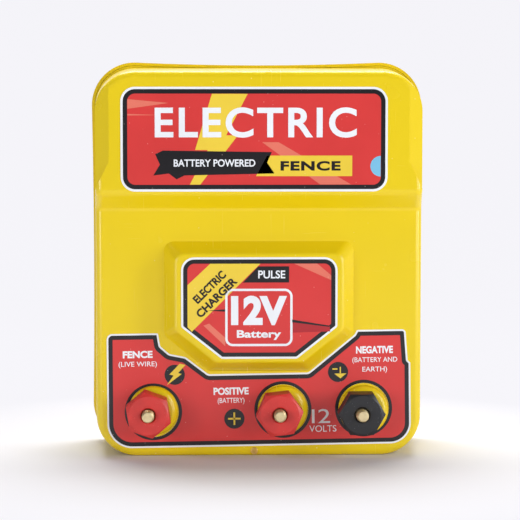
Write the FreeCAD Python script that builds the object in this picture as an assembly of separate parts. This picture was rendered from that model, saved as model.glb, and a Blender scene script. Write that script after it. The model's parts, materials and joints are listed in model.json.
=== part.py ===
import FreeCAD, Part
import math
import os

V = FreeCAD.Vector

# Electric fence charger in a two-shell case. Millimetres, +Z up, front towards -Y.
# "depth" is the distance from the plane of the back, counted towards the front.

# ---- driving dimensions ----
CASE_W = 178.0          # over the rear cover's rim
CASE_H = 207.0
REAR_D = 16.0           # depth of the rear cover
LOWER_D = 58.0          # depth of the lower front face
PANEL_RISE = 9.0        # of the upper panel above the lower face
BOSS_RISE = 9.0         # of the central boss's face above the lower face
RIM_R = 23.0            # corner radius of the rear cover
TOP_BOW = 1.5           # how far the rim's top edge sags in the middle
SIDE_BOW = 0.7          # how far the rim's side edges pull in
RIM_WALL = 1.65
RIM_GAP = 0.15          # between the rim and the front cover's tongue
TOP_LIP = 3.0           # rim's corner above the front cover
WALL = 2.2
DRAFT = math.tan(math.radians(3.0))
EDGE_R = 3.5            # rounding of the front edge

PANEL_H = 68.8          # from the case's top down to the step's upper edge
STEP_H = 8.2            # height of the sloping step below the upper panel
STEP_FOOT_R = 3.0
STEP_TOP_R = 5.0
BEVEL_IN = 11.5         # width of the upper panel's side bevel at the rim
BEVEL_REACH = 14.0      # of the cutting body past the bevel's start
BEVEL_SLOPE = 6.5 / 7.5
BEVEL_END = 16.4        # from the step's upper edge to the bevel's lower end
BEVEL_RUNOUT = 1.96     # fall of the bevel's end per unit of x

BOSS_HALF = 49.5
BOSS_LOW_Z = 44.8
BOSS_HIGH_Z = 113.0
BOSS_CUT_X = 23.3       # the cut lower corners
BOSS_CUT_Z = 19.0
BOSS_R = 5.0
BOSS_SLOPE = 5.9        # inset of the boss's face from its foot
BOSS_EDGE_R = 2.0

TONGUE = 5.0            # length of the front cover's tongue in the rim
TONGUE_ADD = 1.0        # of the tongue's wall over the shell's
TONGUE_ROOT = 2.0       # depth of the flange between shell and tongue
LEDGE = 3.0             # width of the gasket's ledge
GASKET_T = 3.0
REAR_WALL = 2.0
REAR_EDGE_R = 1.5

POST_SIDE = 16.0        # cover screw posts, from the case's sides, bottom and top
POST_LOW = 15.0
POST_TOP = 18.0
POST_R = 4.5
COVER_SCREW_R = 1.7
COVER_SCREW_L = 20.0
PILOT_EXTRA = 2.0       # pilot holes are this much deeper than their screws
HEAD_R = 3.2
HEAD_T = 2.0
HEAD_D = 0.3            # head's depth in the back
SCREW_FIT = 0.02        # thread in its pilot hole
SCREW_GAP = 0.3         # shank in a clearance hole

KEYHOLE_X = 50.0
KEYHOLE_TOP = 36.0      # from the case's top
KEYHOLE_R = 4.5
KEYSLOT_R = 2.3
KEYSLOT_RISE = 9.0

# terminals, from left to right seen from the front
FENCE_SIDE = 31.5       # from the case's left side
POSITIVE_X = 10.4
NEGATIVE_SIDE = 36.2    # from the case's right side
STUD_Z = 24.4
KNOB_TURN = {"fence": 40.0, "positive": 6.5, "negative": 0.0}
STUD_R = 3.175
THREAD_PITCH = 1.27
THREAD_H = 0.45
STUD_PROUD = 25.0       # of the lower face
STUD_HEAD_R = 5.5
STUD_HEAD_T = 4.0
STUD_CHAMFER = 0.6
SEAT_R = 12.9           # domed seat, concentric with the label's hole
SEAT_TOP_R = 10.0
SEAT_H = 5.0
SEAL_W = 2.0            # width of the rubber ring
SEAL_T = 2.0
THREAD_GAP = 0.08
FACE_GAP = 0.02
WASHER_R = 7.6
WASHER_T = 1.5
KNOB_AF = 21.2
KNOB_T = 13.2
KNOB_MOUTH_GAP = 0.525  # round the stud, in the knob's open mouth
KNOB_MOUTH_D = 7.5
KNOB_MOUTH_CHAMFER = 0.6
KNOB_CHAMFER_IN = 0.7   # of the chamfer's top circle from the flats
KNOB_CHAMFER_T = 1.6
NUT_AF = 11.0
NUT_T = 3.6
LUG_R = 6.0
LUG_T = 1.0
LUG_TAIL = 11.0
LUG_BARREL_T = 1.0

# labels
LABEL_T = 0.2
LABEL_R = 7.5
TITLE_SHIFT = -2.6
TITLE_SIDE = 20.2       # mean distance from the case's sides
TITLE_TOP = 13.9        # from the case's top
TITLE_H = 53.8
RATING_SIDE = 9.0       # inset of the rating label from the boss's foot
RATING_END = 7.7
RATING_CUT = 2.4        # its cut corners are this much shorter than the boss's
TERM_LEFT = 9.4         # from the case's sides
TERM_RIGHT = 9.2
TERM_LOW_Z = 5.4
TERM_HIGH_Z = 65.7
TERM_R = 13.0
TERM_TILT = 0.8
TERM_SHIFT = 2.2        # of the label's holes from the studs
TERM_HOLE_R = 13.3
TERM_BOSS_GAP = 1.1
JOG_Z = 48.0
JOG_X = 1.4

# small screw at the bottom edge
PIN_X = -2.5
PIN_Z = 2.7
PIN_HEAD_R = 1.9
PIN_HOLE_R = 0.9
PIN_PROUD = 0.5
PIN_HEAD_T = 1.2        # of its head below the face
PIN_L = 9.0
PIN_R = 1.0

# ---- inside ----
BOARD_GAP = 7.5         # from the capacitors to the board
BOARD_SIDE = 12.35      # from the board to the rim's ledge
BOARD_LOW_Z = 50.0
BOARD_H = 108.0
BOARD_T = 1.6
BOARD_D = 10.0          # depth of the board's rear side
BOARD_HOLE_IN = 5.0
SPACER_R = 3.5
SPACER_L = 5.0
BOARD_SCREW_R = 1.5
BOARD_HEAD_R = 2.8
BOARD_HEAD_T = 2.0
PIN_WIRE_R = 0.35

CORE_SIDE = 10.35       # pulse transformer, from the rim's ledge
CORE_Z = 80.0
CORE_W = 46.0
CORE_H = 50.0
CORE_T = 20.0
CORE_LIMB = 10.0
COIL_FIT = 0.1
BOBBIN_T = 1.5
PRIMARY_T = 1.8
SECONDARY_T = 2.6
BRACKET_D = 7.5
BRACKET_T = 1.5
BRACKET_HALF = 9.0
BRACKET_TAB = 6.0
BRACKET_EAR = 10.0
BRACKET_BOLT_R = 1.8
BRACKET_HEAD_AF = 5.5
BRACKET_HEAD_T = 2.4

# places on the board are distances (x, z) from its centre
INVERTER_AT = (24.0, -26.0)
INVERTER_W = 26.0
INVERTER_H = 25.0
INVERTER_T = 8.0
INVERTER_LIMB = 7.0
INVERTER_COIL_T = 2.6

CAP_R = 13.0            # storage capacitors
CAP_L = 42.0
CAP_SIDE = 3.85         # from the rim's ledge
CAP_GAP = 1.0           # between the two
CAP_REST = 0.2          # from the rear cover's wall
CAP_RISE = 15.0         # from the transformer's top
CAP_EDGE_R = 1.0
STRAP_GAP = 0.3
STRAP_FOOT = 5.0
STRAP_T = 1.0
STRAP_W = 12.0

SINK_AT = (-7.0, 42.0)  # heat sink and what is screwed to it
SINK_W = 30.0
SINK_T = 2.0
SINK_D = 24.0
FIN_H = 8.0
FIN_COUNT = 7
FIN_T = 1.2
CASE_TO_W = 10.0
CASE_TO_H = 15.0
CASE_TO_T = 4.4
CASE_TO_BODY_H = 9.0
CASE_TO_TAB_T = 1.3
CASE_TO_HOLE_R = 1.8
CASE_TO_HOLE_Z = 12.2   # from the case's lower end
CASE_TO_LEGS = 5.0

FUSE_AT = (40.0, 10.0)
FUSE_R = 2.6
FUSE_L = 20.0
FUSE_RISE = 1.2         # of its glass above the board
FUSE_CAP_L = 5.0
FUSE_CLIP_L = 4.0
CLIP_T = 0.6
# x, z, radius, length
SMALL_CAPS = [(-32.0, -27.0, 5.0, 13.0), (-20.0, -32.0, 4.0, 11.0),
              (2.0, -12.0, 4.0, 11.0), (26.0, 28.0, 6.5, 20.0)]
RESISTOR_R = 1.25
RESISTOR_L = 6.6
RESISTOR_ROW = (-32.0, -12.0, 8, 5.2)    # x, first z, count, pitch
DIODE_R = 1.4
DIODE_L = 5.2
DIODE_ROW = (-2.0, 6.0, 4, 6.0)
AXIAL_RISE = 0.4        # of such a body above the board
AXIAL_LEG = 1.2         # from the body's end to its leg
CHIP_AT = (-18.0, 0.0)
CHIP_W = 6.4
CHIP_H = 9.6
CHIP_T = 3.4
CHIP_PITCH = 2.54
CHIP_RISE = 0.6
VARISTOR_AT = (14.0, 12.0)
VARISTOR_R = 7.0
VARISTOR_T = 4.6

LEAD_R = 1.3
LEAD_END_GAP = 0.02
LEAD_REACH = 0.45       # of the shorter run, from a corner to where its bend starts
FENCE_LEAD_DROP = 6.0   # below the transformer's middle
SUPPLY_LEAD_RISE = {"positive": 10.0, "negative": 7.0}      # from the board's lower edge
PRIMARY_LEAD_DZ = [-14.0, 7.0]      # from the transformer's middle
PRIMARY_LEAD_IN = 8.0   # from the board's left edge
PRIMARY_LEAD_OUT = 5.0  # from the transformer's middle
PRIMARY_LEAD_LOOP = 10.8            # in front of the winding
CAP_LEAD_DX = [-6.5, 4.5]           # from each capacitor's middle
CAP_LEAD_RISE = [18.0, 10.0]        # above the capacitors
CAP_LEAD_IN = [10.5, 17.5]          # from the board's left edge
CAP_LEAD_FORE = 5.8     # in front of the capacitors' middle
CAP_LEAD_DROP = 8.0     # from the board's top edge

# ---- what follows from them ----
UPPER_D = LOWER_D + PANEL_RISE
BOSS_D = LOWER_D + BOSS_RISE
STEP_HIGH_Z = CASE_H - PANEL_H
STEP_LOW_Z = STEP_HIGH_Z - STEP_H
BEVEL_X = CASE_W / 2 - BEVEL_IN
BEVEL_END_Z = STEP_HIGH_Z + BEVEL_END
SEAT_D = LOWER_D + SEAT_H
WASHER_D = SEAT_D + FACE_GAP
KNOB_D = WASHER_D + WASHER_T + FACE_GAP
TOTAL_D = LOWER_D + STUD_PROUD
BACK_Y = TOTAL_D / 2
FRONT_TOP_Z = CASE_H - TOP_LIP
FRONT_HALF = CASE_W / 2 - RIM_WALL - RIM_GAP
FRONT_R = RIM_R - RIM_WALL - RIM_GAP
GASKET_D = REAR_D - TONGUE - GASKET_T
BOARD_FRONT = BOARD_D + BOARD_T
INNER_X = CASE_W / 2 - RIM_WALL - LEDGE
LUG_D = LOWER_D - WALL - SEAL_T - NUT_T - LUG_T - 3 * FACE_GAP
STUD_HEAD_D = LUG_D - STUD_HEAD_T - FACE_GAP
CORE_BACK = BRACKET_D + BRACKET_T + FACE_GAP
COIL_MID_D = CORE_BACK + CORE_T / 2
COIL_HALF_D = CORE_T / 2 + BOBBIN_T + PRIMARY_T + SECONDARY_T + 3 * COIL_FIT
COIL_FRONT = COIL_MID_D + COIL_HALF_D
CORE_X = -INNER_X + CORE_SIDE + CORE_W / 2
CAP_XS = [-INNER_X + CAP_SIDE + CAP_R, -INNER_X + CAP_SIDE + 3 * CAP_R + CAP_GAP]
CAP_D = REAR_WALL + CAP_REST + CAP_R
CAP_LOW_Z = CORE_Z + CORE_H / 2 + CAP_RISE
BOARD_LEFT = CAP_XS[-1] + CAP_R + BOARD_GAP
BOARD_W = INNER_X - BOARD_SIDE - BOARD_LEFT
BOARD_X = BOARD_LEFT + BOARD_W / 2
BOARD_Z = BOARD_LOW_Z + BOARD_H / 2
FUSE_D = BOARD_FRONT + FUSE_RISE + FUSE_R
KEYHOLE_Z = CASE_H - KEYHOLE_TOP
STUD_XZ = {"fence": (-CASE_W / 2 + FENCE_SIDE, STUD_Z),
           "positive": (POSITIVE_X, STUD_Z),
           "negative": (CASE_W / 2 - NEGATIVE_SIDE, STUD_Z)}
POSTS = [(sx * (CASE_W / 2 - POST_SIDE), z) for sx in (-1, 1) for z in (POST_LOW, CASE_H - POST_TOP)]


# ---- helpers ----
def at(x, depth, z):
    return V(x, BACK_Y - depth, z)


def save(name, shape):
    shape.exportStep("parts/" + name + ".step")
    print(name, "solids", len(shape.Solids), "volume", round(shape.Volume, 1))


def rod(x, z, depth_from, depth_to, radius):
    return Part.makeCylinder(radius, depth_to - depth_from, at(x, depth_from, z), V(0, -1, 0))


def ring(x, z, depth_from, depth_to, outer, inner):
    return rod(x, z, depth_from, depth_to, outer).cut(rod(x, z, depth_from - 1, depth_to + 1, inner))


def block(x_from, x_to, depth_from, depth_to, z_from, z_to):
    corner = at(x_from, depth_to, z_from)
    return Part.makeBox(x_to - x_from, depth_to - depth_from, z_to - z_from, corner)


def outline(corners, depth):
    """Closed wire through corners (x, z, radius), each corner rounded by an arc."""
    points = [at(x, depth, z) for x, z, _ in corners]
    count = len(points)
    edges = []
    ends = []
    for i, (_, _, radius) in enumerate(corners):
        here = points[i]
        to_last = (points[i - 1] - here).normalize()
        to_next = (points[(i + 1) % count] - here).normalize()
        half = to_last.getAngle(to_next) / 2
        reach = radius / math.tan(half)
        middle = (to_last + to_next).normalize()
        centre = here + middle * (radius / math.sin(half))
        start = here + to_last * reach
        end = here + to_next * reach
        ends.append((start, centre - middle * radius, end))
    for i in range(count):
        start, mid, end = ends[i]
        follow = ends[(i + 1) % count][0]
        if corners[i][2] > 0:
            edges.append(Part.Arc(start, mid, end).toShape())
        if end.distanceToPoint(follow) > 1e-6:
            edges.append(Part.LineSegment(end, follow).toShape())
    return Part.Wire(edges)


def plate(corners, depth, thickness):
    return Part.Face(outline(corners, depth)).extrude(V(0, -thickness, 0))


def loft(first, second):
    return Part.makeLoft([first, second], True, True)


def rectangle(half, low, high, radius):
    return [(-half, low, radius), (half, low, radius), (half, high, radius), (-half, high, radius)]


def cut_corners(half, low, high, cut_x, cut_z, radius):
    """Rectangle whose two lower corners are cut off."""
    return [(-half + cut_x, low, radius), (half - cut_x, low, radius),
            (half, low + cut_z, radius), (half, high, radius),
            (-half, high, radius), (-half, low + cut_z, radius)]


def turned(profile, x, z):
    """Solid of revolution about the stud's direction; profile is (radius, depth)."""
    points = [at(x + r, depth, z) for r, depth in profile]
    face = Part.Face(Part.makePolygon(points + [points[0]]))
    return face.revolve(at(x, 0, z), V(0, 1, 0), 360)


def hexagon(x, z, depth_from, depth_to, across_flats, turn):
    radius = across_flats / math.sqrt(3)
    points = []
    for i in range(7):
        angle = math.radians(turn + 60 * i)
        points.append(at(x + radius * math.cos(angle), depth_from, z + radius * math.sin(angle)))
    return Part.Face(Part.makePolygon(points)).extrude(V(0, depth_from - depth_to, 0))


# ---- case ----
def rim_outline(inset, depth):
    """The rear cover's outline: four round corners joined by slightly hollow edges."""
    half = CASE_W / 2 - inset
    low = inset
    high = CASE_H - inset
    radius = RIM_R - inset
    diagonal = radius * math.sqrt(0.5)
    edges = []
    corners = [(-1, high - radius, 1), (1, high - radius, 1), (1, low + radius, -1), (-1, low + radius, -1)]
    arcs = []
    for sx, cz, sz in corners:
        cx = sx * (half - radius)
        side = at(cx + sx * radius, depth, cz)
        end = at(cx, depth, cz + sz * radius)
        arcs.append((side, at(cx + sx * diagonal, depth, cz + sz * diagonal), end))
    for start, mid, end in arcs:
        edges.append(Part.Arc(start, mid, end).toShape())
    middle_z = (low + high) / 2
    edges.append(Part.Arc(arcs[0][2], at(0, depth, high - TOP_BOW), arcs[1][2]).toShape())
    edges.append(Part.Arc(arcs[1][0], at(half - SIDE_BOW, depth, middle_z), arcs[2][0]).toShape())
    edges.append(Part.LineSegment(arcs[2][2], arcs[3][2]).toShape())
    edges.append(Part.Arc(arcs[3][0], at(-half + SIDE_BOW, depth, middle_z), arcs[0][0]).toShape())
    return Part.Wire(Part.sortEdges(edges)[0])


def bevel(side, inset):
    """What the upper panel loses at one side; its lower end runs out aslant.

    With an inset, it is what the hollow loses, so it reaches further at every side.
    """
    tilt = math.hypot(1, BEVEL_SLOPE)
    start_x = BEVEL_X - inset * (tilt - 1) / BEVEL_SLOPE
    face_d = UPPER_D - inset
    fall = BEVEL_REACH * BEVEL_SLOPE
    columns = [(0, 0), (BEVEL_REACH, -fall), (BEVEL_REACH, EDGE_R), (0, EDGE_R)]
    end_z = BEVEL_END_Z - inset * math.hypot(1, BEVEL_RUNOUT)
    low_ring = []
    high_ring = []
    for dx, dd in columns:
        low_ring.append(at(side * (start_x + dx), face_d + dd, end_z - BEVEL_RUNOUT * dx))
        high_ring.append(at(side * (start_x + dx), face_d + dd, CASE_H + 5))
    return loft(Part.makePolygon(low_ring + low_ring[:1]), Part.makePolygon(high_ring + high_ring[:1]))


def front_profile(inset, rear_depth):
    """Side view of the front cover, extruded over the whole width."""
    low_d = LOWER_D - inset
    high_d = UPPER_D - inset
    rise = (STEP_HIGH_Z - STEP_LOW_Z) / (UPPER_D - LOWER_D)
    shift = inset * (math.hypot(1, rise) - rise)
    corners = [(rear_depth, -5.0, 0), (low_d, -5.0, 0),
               (low_d, STEP_LOW_Z + shift, STEP_FOOT_R + inset),
               (high_d, STEP_HIGH_Z + shift, STEP_TOP_R - inset),
               (high_d, CASE_H + 5, 0), (rear_depth, CASE_H + 5, 0)]
    flat = outline([(depth, z, radius) for depth, z, radius in corners], 0)
    face = Part.Face(flat)
    face.translate(V(0, -BACK_Y, 0))
    face.rotate(V(0, 0, 0), V(0, 0, 1), -90)
    face.translate(V(-CASE_W, BACK_Y, 0))
    return face.extrude(V(2 * CASE_W, 0, 0))


def front_body(inset, rear_depth):
    outlines = []
    for depth in (rear_depth, UPPER_D + 3):
        lean = (depth - REAR_D) * DRAFT
        half = FRONT_HALF - inset - lean
        high = FRONT_TOP_Z - inset - lean
        outlines.append(outline(rectangle(half, inset, high, FRONT_R - inset), depth))
    return loft(*outlines).common(front_profile(inset, rear_depth))


def front_edges(shape):
    chosen = []
    for edge in shape.Edges:
        middle = edge.CenterOfMass
        depth = BACK_Y - middle.y
        outside = abs(middle.x) > FRONT_HALF - 12 or middle.z < 1 or middle.z > FRONT_TOP_Z - 12
        if depth > LOWER_D - 8 and outside:
            chosen.append(edge)
    return chosen


def boss_body(inset, foot_d):
    foot = cut_corners(BOSS_HALF - inset, BOSS_LOW_Z + inset, BOSS_HIGH_Z - inset,
                       BOSS_CUT_X, BOSS_CUT_Z, BOSS_R)
    narrow = BOSS_SLOPE + inset
    face = cut_corners(BOSS_HALF - narrow, BOSS_LOW_Z + narrow, BOSS_HIGH_Z - narrow,
                       BOSS_CUT_X - 0.4 * BOSS_SLOPE, BOSS_CUT_Z - 0.33 * BOSS_SLOPE, BOSS_R)
    return loft(outline(foot, foot_d), outline(face, BOSS_D - inset))


def make_front_cover():
    body = front_body(0, REAR_D)
    body = body.makeFillet(EDGE_R, front_edges(body))
    for side in (-1, 1):
        body = body.cut(bevel(side, 0))
    boss = boss_body(0, LOWER_D)
    front = [e for e in boss.Edges if BACK_Y - e.CenterOfMass.y > BOSS_D - 0.1]
    body = body.fuse(boss.makeFillet(BOSS_EDGE_R, front))
    hollow = front_body(WALL, REAR_D)
    for side in (-1, 1):
        hollow = hollow.cut(bevel(side, WALL))
    hollow = hollow.fuse(boss_body(WALL, LOWER_D - WALL - 1))
    cover = body.cut(hollow)
    for x, z in STUD_XZ.values():
        cover = cover.fuse(make_seat(x + TERM_SHIFT, z))
    cover = cover.fuse(make_tongue())
    for x, z in POSTS:
        front_d = (LOWER_D if z < STEP_LOW_Z else UPPER_D) - WALL
        cover = cover.fuse(rod(x, z, GASKET_D, front_d + 0.5, POST_R))
        cover = cover.cut(rod(x, z, GASKET_D - 1, COVER_SCREW_L + PILOT_EXTRA, COVER_SCREW_R + SCREW_FIT))
    for x, z in STUD_XZ.values():
        cover = cover.cut(rod(x, z, LOWER_D - WALL - 1, SEAT_D + 1, STUD_R + SCREW_GAP))
    cover = cover.cut(rod(PIN_X, PIN_Z, LOWER_D - PIN_L, LOWER_D + 1, PIN_R + SCREW_FIT))
    cover = cover.cut(rod(PIN_X, PIN_Z, LOWER_D - PIN_HEAD_T, LOWER_D + 1, PIN_HEAD_R + SCREW_FIT))
    return cover.removeSplitter()


def make_seat(x, z):
    """Dome with a flat top, where the clamp washer bears."""
    low = LOWER_D - 1
    bulge = math.sqrt(0.5)
    mid = at(x + SEAT_TOP_R + (SEAT_R - SEAT_TOP_R) * bulge, LOWER_D + SEAT_H * bulge, z)
    rim = at(x + SEAT_R, LOWER_D, z)
    top = at(x + SEAT_TOP_R, SEAT_D, z)
    edges = [Part.LineSegment(at(x, low, z), at(x + SEAT_R, low, z)).toShape(),
             Part.LineSegment(at(x + SEAT_R, low, z), rim).toShape(),
             Part.Arc(rim, mid, top).toShape(),
             Part.LineSegment(top, at(x, SEAT_D, z)).toShape(),
             Part.LineSegment(at(x, SEAT_D, z), at(x, low, z)).toShape()]
    return Part.Face(Part.Wire(edges)).revolve(at(x, 0, z), V(0, 1, 0), 360)


def make_tongue():
    """Wall at the back of the front cover that enters the rim, and the flange that carries it."""
    wall = WALL + TONGUE_ADD
    start = REAR_D - TONGUE
    tongue = rim_plate(RIM_WALL + RIM_GAP, start, TONGUE)
    flange = front_body(0, REAR_D).common(block(-CASE_W, CASE_W, REAR_D, REAR_D + TONGUE_ROOT, 0, CASE_H))
    return tongue.fuse(flange).cut(rim_plate(RIM_WALL + RIM_GAP + wall, start - 1, TONGUE + TONGUE_ROOT + 2))


def rim_plate(inset, depth, thickness):
    return Part.Face(rim_outline(inset, depth)).extrude(V(0, -thickness, 0))


def make_rear_cover():
    body = rim_plate(0, 0, REAR_D)
    rear_edges = [e for e in body.Edges if abs(BACK_Y - e.CenterOfMass.y) < 0.01]
    body = body.makeFillet(REAR_EDGE_R, rear_edges)
    body = body.cut(rim_plate(RIM_WALL, GASKET_D, REAR_D))
    body = body.cut(rim_plate(RIM_WALL + LEDGE, REAR_WALL, REAR_D))
    for x, z in POSTS:
        body = body.fuse(rod(x, z, REAR_WALL - 0.5, GASKET_D - FACE_GAP, POST_R))
        body = body.cut(rod(x, z, -1, GASKET_D + 1, COVER_SCREW_R + SCREW_GAP))
        body = body.cut(rod(x, z, -1, HEAD_D + HEAD_T + FACE_GAP, HEAD_R + SCREW_GAP))
    for x, z in board_holes():
        body = body.fuse(rod(x, z, REAR_WALL - 0.5, BOARD_D - SPACER_L, SPACER_R))
        body = body.cut(rod(x, z, REAR_WALL + 0.5, BOARD_D, BOARD_SCREW_R + SCREW_FIT))
    for x, z, _ in bracket_holes():
        body = body.fuse(rod(x, z, REAR_WALL - 0.5, BRACKET_D - FACE_GAP, SPACER_R))
        body = body.cut(rod(x, z, REAR_WALL + 0.5, BRACKET_D + 1, BRACKET_BOLT_R + SCREW_FIT))
    for side in (-1, 1):
        x = side * KEYHOLE_X
        body = body.cut(rod(x, KEYHOLE_Z, -1, REAR_WALL + 1, KEYHOLE_R))
        end_z = KEYHOLE_Z + KEYSLOT_RISE
        body = body.cut(block(x - KEYSLOT_R, x + KEYSLOT_R, -1, REAR_WALL + 1, KEYHOLE_Z, end_z))
        body = body.cut(rod(x, end_z, -1, REAR_WALL + 1, KEYSLOT_R))
    return body.removeSplitter()


def make_gasket():
    """Flat ring between the rim's ledge and the tongue."""
    start = GASKET_D + FACE_GAP
    body = rim_plate(RIM_WALL + RIM_GAP, start, GASKET_T - 2 * FACE_GAP)
    body = body.cut(rim_plate(RIM_WALL + LEDGE - RIM_GAP, start - 1, GASKET_T + 2))
    for x, z in POSTS:
        body = body.cut(rod(x, z, start - 1, start + GASKET_T, POST_R + RIM_GAP))
    return body


def cover_screw(x, z):
    """Pan head in the back's counterbore, with a cross recess."""
    head_end = HEAD_D + HEAD_T
    body = rod(x, z, HEAD_D, head_end, HEAD_R)
    body = body.fuse(rod(x, z, head_end, COVER_SCREW_L, COVER_SCREW_R))
    slot = 0.35 * COVER_SCREW_R
    reach = 0.6 * HEAD_R
    recess = HEAD_D + 0.5 * HEAD_T
    body = body.cut(block(x - reach, x + reach, HEAD_D - 1, recess, z - slot, z + slot))
    return body.cut(block(x - slot, x + slot, HEAD_D - 1, recess, z - reach, z + reach))


def make_bottom_screw():
    head_d = LOWER_D - PIN_HEAD_T
    body = rod(PIN_X, PIN_Z, head_d, LOWER_D + PIN_PROUD, PIN_HEAD_R)
    rim = [e for e in body.Edges if BACK_Y - e.CenterOfMass.y > LOWER_D + PIN_PROUD - 0.01]
    body = body.makeFillet(0.4, rim)
    body = body.cut(rod(PIN_X, PIN_Z, LOWER_D - 0.2, LOWER_D + 2, PIN_HOLE_R))
    return body.fuse(rod(PIN_X, PIN_Z, LOWER_D - PIN_L + 0.5, head_d, PIN_R))


# ---- labels ----
def make_title_label():
    high = CASE_H - TITLE_TOP
    corners = rectangle(CASE_W / 2 - TITLE_SIDE, high - TITLE_H, high, LABEL_R)
    body = plate(corners, UPPER_D + FACE_GAP, LABEL_T)
    body.translate(V(TITLE_SHIFT, 0, 0))
    return body


def make_rating_label():
    corners = cut_corners(BOSS_HALF - RATING_SIDE, BOSS_LOW_Z + RATING_END, BOSS_HIGH_Z - RATING_END,
                          BOSS_CUT_X - RATING_CUT, BOSS_CUT_Z - RATING_CUT, 2.0)
    corners[3] = corners[3][:2] + (LABEL_R - 0.6,)
    corners[4] = corners[4][:2] + (LABEL_R - 0.6,)
    return plate(corners, BOSS_D + FACE_GAP, LABEL_T)


def terminal_corners():
    """Outline of the terminal label; it passes round the boss's foot with a gap."""
    gap = TERM_BOSS_GAP
    left = CASE_W / 2 - TERM_LEFT
    right = CASE_W / 2 - TERM_RIGHT
    boss_x = BOSS_HALF + gap
    cut_x = BOSS_HALF - BOSS_CUT_X
    cut_low = BOSS_LOW_Z - gap
    cut_high = BOSS_LOW_Z + BOSS_CUT_Z - gap / 2
    slope = (cut_high - cut_low) / (boss_x - cut_x)
    scoop_x = 38.0
    scoop_z = cut_low + (scoop_x - cut_x) * slope - 0.2
    return [(-left, TERM_LOW_Z, TERM_R), (right, TERM_LOW_Z, TERM_R - 2),
            (right, JOG_Z, 0.8), (right - JOG_X, JOG_Z + JOG_X, 0.8),
            (right - 2.4, TERM_HIGH_Z, 2.0), (boss_x + 1.4, TERM_HIGH_Z, 0.8),
            (boss_x, cut_high, 2.0), (cut_x, cut_low, 3.0), (-cut_x, cut_low, 3.0),
            (-scoop_x, scoop_z, 4.0), (-46.5, scoop_z + 1.8, 3.0), (-boss_x - 0.6, scoop_z + 6.0, 2.0),
            (-boss_x - 1.6, TERM_HIGH_Z, 0.8), (-left + 0.6, TERM_HIGH_Z, 3.0)]


def make_terminal_label():
    body = plate(terminal_corners(), LOWER_D + FACE_GAP, LABEL_T)
    for x, z in STUD_XZ.values():
        body = body.cut(rod(x + TERM_SHIFT, z, LOWER_D - 1, LOWER_D + 2, TERM_HOLE_R))
    body.rotate(at(TERM_SHIFT, 0, STUD_Z), V(0, 1, 0), -TERM_TILT)
    return body


# ---- terminals ----
def make_stud(x, z):
    """Brass bolt whose thread is cut as rings of the right pitch."""
    head_d = STUD_HEAD_D
    tip_d = TOTAL_D
    root = STUD_R - THREAD_H
    profile = [(0, head_d), (STUD_HEAD_R - 0.5, head_d), (STUD_HEAD_R, head_d + 0.5),
               (STUD_HEAD_R, head_d + STUD_HEAD_T), (root, head_d + STUD_HEAD_T)]
    depth = head_d + STUD_HEAD_T + 0.2
    while depth + THREAD_PITCH < tip_d - 1.0:
        profile.append((root, depth))
        profile.append((STUD_R, depth + 0.45 * THREAD_PITCH))
        profile.append((STUD_R, depth + 0.55 * THREAD_PITCH))
        depth += THREAD_PITCH
    profile.append((root, depth))
    profile.append((STUD_R - 0.2, depth + 0.3))
    profile.append((STUD_R - 0.2, tip_d - STUD_CHAMFER))
    profile.append((STUD_R - 0.2 - STUD_CHAMFER, tip_d))
    profile.append((0, tip_d))
    return turned(profile, x, z)


def make_knob(x, z, turn):
    body = hexagon(x, z, KNOB_D, KNOB_D + KNOB_T, KNOB_AF, turn)
    corner_r = KNOB_AF / math.sqrt(3)
    top_d = KNOB_D + KNOB_T
    cone = [(0, KNOB_D - 1), (corner_r + 1, KNOB_D - 1), (corner_r + 1, top_d - KNOB_CHAMFER_T),
            (corner_r, top_d - KNOB_CHAMFER_T), (KNOB_AF / 2 - KNOB_CHAMFER_IN, top_d), (0, top_d)]
    body = body.common(turned(cone, x, z))
    body = body.cut(rod(x, z, KNOB_D - 1, top_d + 1, STUD_R + THREAD_GAP))
    mouth_r = STUD_R + KNOB_MOUTH_GAP
    wide = mouth_r + KNOB_MOUTH_CHAMFER
    mouth = [(0, top_d - KNOB_MOUTH_D), (mouth_r, top_d - KNOB_MOUTH_D), (mouth_r, top_d - KNOB_MOUTH_CHAMFER),
             (wide, top_d), (wide, top_d + 1), (0, top_d + 1)]
    return body.cut(turned(mouth, x, z))


def make_nut(x, z, depth_from):
    return hexagon(x, z, depth_from, depth_from + NUT_T, NUT_AF, 0).cut(
        rod(x, z, depth_from - 1, depth_from + NUT_T + 1, STUD_R + THREAD_GAP))


def make_lug(x, z, depth_from):
    """Ring tongue with a crimped barrel that points up."""
    body = rod(x, z, depth_from, depth_from + LUG_T, LUG_R)
    body = body.fuse(block(x - 2, x + 2, depth_from, depth_from + LUG_T, z, z + LUG_TAIL - 3))
    barrel = Part.makeCylinder(LEAD_R + LUG_BARREL_T, 6.0, at(x, depth_from, z + LUG_TAIL - 4), V(0, 0, 1))
    bore = Part.makeCylinder(LEAD_R + 0.02, 5.0, at(x, depth_from, z + LUG_TAIL - 3), V(0, 0, 1))
    ring_hole = rod(x, z, depth_from - 3, depth_from + 3, STUD_R + THREAD_GAP)
    keep = block(x - 5, x + 5, depth_from - 4, depth_from + 4, z + LUG_R + 0.5, z + 20)
    return body.fuse(barrel.common(keep)).cut(bore).cut(ring_hole)


# ---- inside ----
def group(shapes):
    return Part.makeCompound(shapes)


def board_holes():
    dx = BOARD_W / 2 - BOARD_HOLE_IN
    dz = BOARD_H / 2 - BOARD_HOLE_IN
    return [(BOARD_X + sx * dx, BOARD_Z + sz * dz) for sx in (-1, 1) for sz in (-1, 1)]


def bracket_holes():
    dz = CORE_H / 2 + BRACKET_EAR / 2 + 1
    return [(CORE_X, CORE_Z - dz, -1), (CORE_X, CORE_Z + dz, 1)]


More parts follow.
